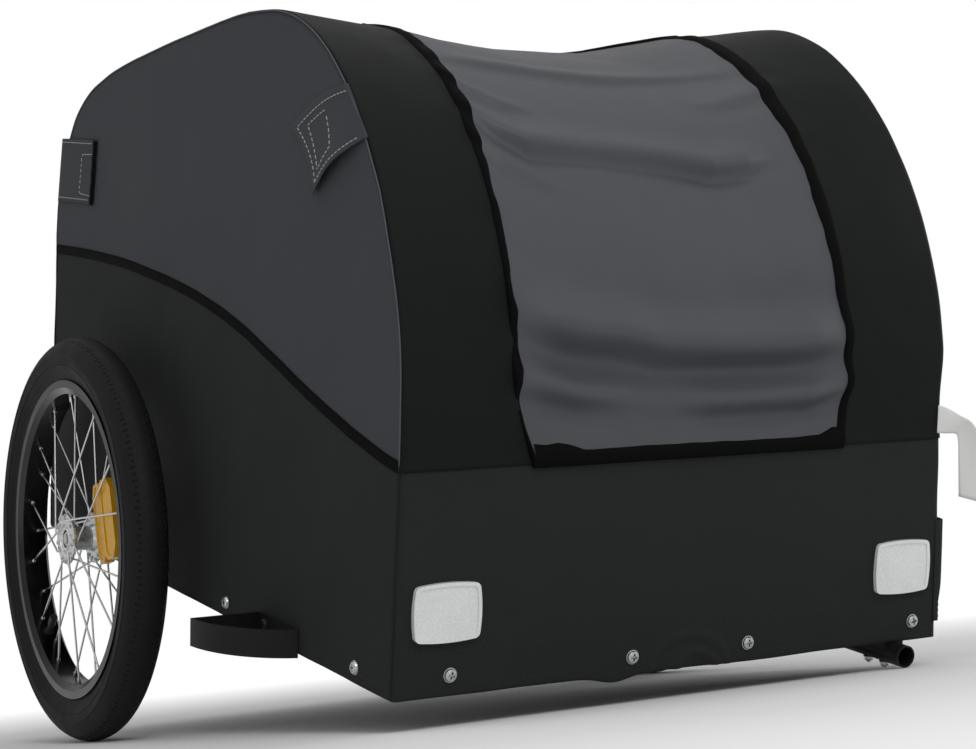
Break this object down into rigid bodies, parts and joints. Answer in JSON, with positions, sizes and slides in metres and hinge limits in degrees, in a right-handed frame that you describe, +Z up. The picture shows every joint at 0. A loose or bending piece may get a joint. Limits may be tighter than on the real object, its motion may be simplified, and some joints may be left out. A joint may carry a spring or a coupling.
{
  "type": "two-wheeled bicycle cargo trailer",
  "caption": "Soft-covered bicycle trailer with a hooded load space, two spoked wheels on stub axles and a tow bar socket under the frame.",
  "frame": {"origin": "on the floor, under the middle of the whole trailer as it stands parked nose-down", "axes": "+X to the trailer's left, +Y backwards, +Z up; the trailer is turned about 14.4 degrees nose-down about X"},
  "size_m": [0.7028, 0.8624, 0.6693],
  "materials": {
    "black_cloth": "woven polyester, dark",
    "hood_cloth": "woven polyester, grey-black",
    "grey_cloth": "woven polyester, mid grey",
    "window_cloth": "coated cloth with a slight gloss",
    "tab_cloth": "stitched woven tab",
    "binding": "sewn tape",
    "frame_tube": "satin black powder coat",
    "guard_strip": "satin black",
    "floor": "plain board",
    "tyre": "rubber",
    "rim": "gloss black",
    "hub": "satin",
    "spokes": "bright",
    "axle": "zinc plated",
    "valve": "rubber with plastic cap",
    "amber_lens": "moulded prisms",
    "clear_lens": "moulded prisms, clear",
    "red_lens": "moulded prisms, red"
  },
  "bodies": {
    "chassis": {"axle_bracket_left": "frame_tube", "axle_bracket_right": "frame_tube", "axle_cross_rail": "frame_tube", "cover_side_left": "grey_cloth", "cover_side_right": "grey_cloth", "floor_board": "floor", "front_cross_rail": "frame_tube", "front_panel": "black_cloth", "front_rail": "frame_tube", "front_reflector_left": "clear_lens", "front_reflector_right": "clear_lens", "front_tab_left": "tab_cloth", "front_tab_right": "tab_cloth", "hood_band_left": "hood_cloth", "hood_band_right": "hood_cloth", "rear_panel": "black_cloth", "rear_rail": "frame_tube", "rear_reflector_left": "red_lens", "rear_reflector_right": "red_lens", "rear_tab_left": "tab_cloth", "rear_tab_right": "tab_cloth", "roof_panel": "grey_cloth", "side_panel_left": "black_cloth", "side_panel_right": "black_cloth", "side_rail_left": "frame_tube", "side_rail_right": "frame_tube", "side_sleeve": "hood_cloth", "socket_saddle_front": "frame_tube", "socket_saddle_rear": "frame_tube", "stub_axle_left": "axle", "stub_axle_right": "axle", "tow_socket": "frame_tube", "wheel_guard_left": "guard_strip", "wheel_guard_right": "guard_strip", "window_binding": "binding", "window_panel": "window_cloth"},
    "wheel_right": {"tyre_right": "tyre", "rim_right": "rim", "hub_right": "hub", "spokes_right": "spokes", "spoke_reflector_right": "amber_lens", "valve_right": "valve"},
    "wheel_left": {"tyre_left": "tyre", "rim_left": "rim", "hub_left": "hub", "spokes_left": "spokes", "spoke_reflector_left": "amber_lens", "valve_left": "valve"}
  },
  "joints": [
    {"name": "wheel_right_spin", "type": "hinge", "parent": "chassis", "child": "wheel_right", "pos_m": [-0.3255, 0.18693, 0.19994], "axis": [0.9997, 0.0065, -0.0254], "continuous": true},
    {"name": "wheel_left_spin", "type": "hinge", "parent": "chassis", "child": "wheel_left", "pos_m": [0.3255, 0.18693, 0.19994], "axis": [0.9997, -0.0065, 0.0254], "continuous": true}
  ]
}
